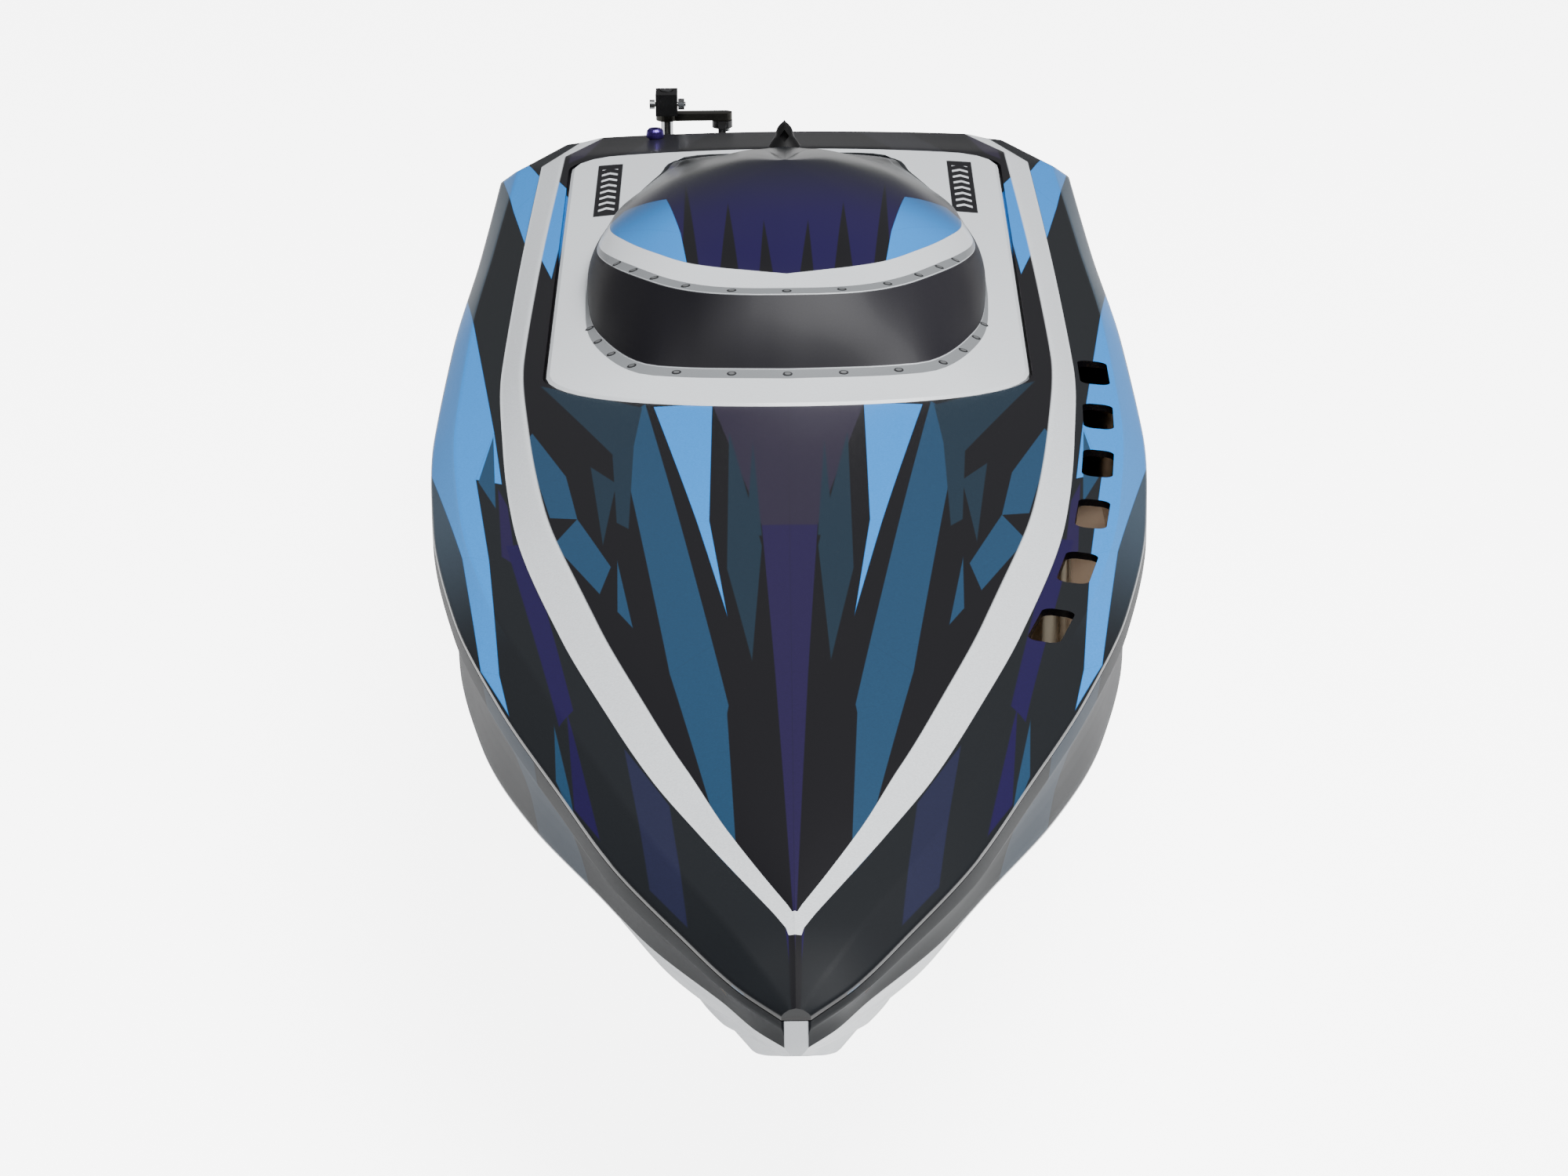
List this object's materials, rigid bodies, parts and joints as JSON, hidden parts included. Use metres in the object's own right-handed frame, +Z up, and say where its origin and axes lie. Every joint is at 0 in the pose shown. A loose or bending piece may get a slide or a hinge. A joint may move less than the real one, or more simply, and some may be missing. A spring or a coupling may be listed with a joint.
{
  "type": "radio-controlled racing boat",
  "caption": "Deep-V electric racing boat with lift-off canopy, flood slots, transom rudder, drive strut, propeller and trim tabs",
  "frame": {"origin": "on the flat keel pad, midway along the hull's length", "axes": "+X to port, +Y aft, +Z up; the bow points to -Y"},
  "size_m": [0.245, 0.9588, 0.182],
  "materials": {
    "white_gelcoat": "gloss white gelcoat",
    "painted_deck": "sprayed paint under clear coat",
    "painted_canopy": "sprayed paint under clear coat",
    "black_plastic": "moulded, satin",
    "aluminium": "machined",
    "steel": "bright turned steel",
    "brass": "bright",
    "purple_anodised": "anodised",
    "battery_wrap": "shrink wrap",
    "glass_epoxy": "cut laminate",
    "rubber": "moulded",
    "foam": "closed cell foam",
    "clear_plastic": "clear moulded",
    "webbing": "woven strap"
  },
  "bodies": {
    "root": {"antenna_socket": "purple_anodised", "battery_pack_port": "battery_wrap", "battery_pack_starboard": "battery_wrap", "battery_strap_front": "webbing", "battery_strap_rear": "webbing", "battery_tray": "glass_epoxy", "controller_cooler": "aluminium", "cooling_jacket": "purple_anodised", "cooling_outlet": "purple_anodised", "deck_shell": "painted_deck", "drain_plug": "black_plastic", "drive_strut": "aluminium", "flex_shaft": "steel", "flood_chamber_wall": "glass_epoxy", "flotation_foam": "foam", "hatch_seal": "rubber", "hull_shell": "white_gelcoat", "motor_can": "steel", "motor_mount": "aluminium", "pushrod_boot": "rubber", "radio_box": "black_plastic", "radio_box_lid": "clear_plastic", "receiver": "black_plastic", "rudder_bracket": "aluminium", "servo_case": "black_plastic", "servo_mount": "glass_epoxy", "speed_controller": "black_plastic", "strut_bush": "brass", "stuffing_tube": "brass", "tab_bracket_port": "aluminium", "tab_bracket_starboard": "aluminium", "tab_pin_port": "steel", "tab_pin_starboard": "steel", "tab_screw_port": "steel", "tab_screw_starboard": "steel"},
    "canopy": {"canopy_shell": "painted_canopy"},
    "canopy_latch": {"latch_knob": "black_plastic", "latch_cam": "steel"},
    "rudder": {"rudder_post": "steel", "rudder_head": "aluminium", "rudder_blade": "aluminium", "steering_arm": "aluminium", "clamp_block": "aluminium", "clamp_bolt": "steel", "lock_nut": "steel", "ball_stud": "steel"},
    "servo_arm": {"servo_horn": "black_plastic", "horn_screw": "steel", "horn_pin": "steel"},
    "pushrod": {"ball_link": "black_plastic", "servo_link": "black_plastic", "pushrod": "steel"},
    "propeller": {"propeller_shaft": "steel", "drive_dog": "brass", "propeller": "brass", "propeller_nut": "steel"},
    "motor_rotor": {"motor_shaft": "steel", "shaft_coupler": "aluminium"},
    "trim_tab_port": {"trim_tab_port": "steel"},
    "trim_tab_starboard": {"trim_tab_starboard": "steel"}
  },
  "joints": [
    {"name": "canopy_lift", "type": "slide", "parent": "root", "child": "canopy", "axis": [0, 0, 1], "range_m": [0, 0.09]},
    {"name": "latch_turn", "type": "hinge", "parent": "canopy", "child": "canopy_latch", "pos_m": [0, 0.3765, 0.1115], "axis": [0, 0, 1], "range_deg": [0, 90]},
    {"name": "rudder_steer", "type": "hinge", "parent": "root", "child": "rudder", "pos_m": [-0.0485, 0.49, 0], "axis": [0, 0, 1], "range_deg": [-25, 25]},
    {"name": "servo_turn", "type": "hinge", "parent": "root", "child": "servo_arm", "pos_m": [-0.0485, 0.32, 0.084], "axis": [0, 0, 1], "range_deg": [-25, 25]},
    {"name": "rod_travel", "type": "slide", "parent": "root", "child": "pushrod", "axis": [0, 1, 0], "range_m": [-0.01014, 0.01014]},
    {"name": "propeller_spin", "type": "hinge", "parent": "root", "child": "propeller", "pos_m": [0, 0.4585, -0.01], "axis": [0, 1, 0], "continuous": true},
    {"name": "motor_spin", "type": "hinge", "parent": "root", "child": "motor_rotor", "pos_m": [0, 0.29, 0.032], "axis": [0, 1, 0], "continuous": true},
    {"name": "tab_tilt_port", "type": "hinge", "parent": "root", "child": "trim_tab_port", "pos_m": [0.076, 0.454, 0.03889], "axis": [0.8881, 0, 0.4597], "range_deg": [-6, 0]},
    {"name": "tab_tilt_starboard", "type": "hinge", "parent": "root", "child": "trim_tab_starboard", "pos_m": [-0.076, 0.454, 0.03889], "axis": [0.8881, 0, -0.4597], "range_deg": [-6, 0]}
  ],
  "couplings": [
    {"joint": "servo_turn", "follows": "rudder_steer", "ratio": 1},
    {"joint": "rod_travel", "follows": "rudder_steer", "m_per_rad": 0.023246},
    {"joint": "propeller_spin", "follows": "motor_spin", "ratio": 1}
  ]
}
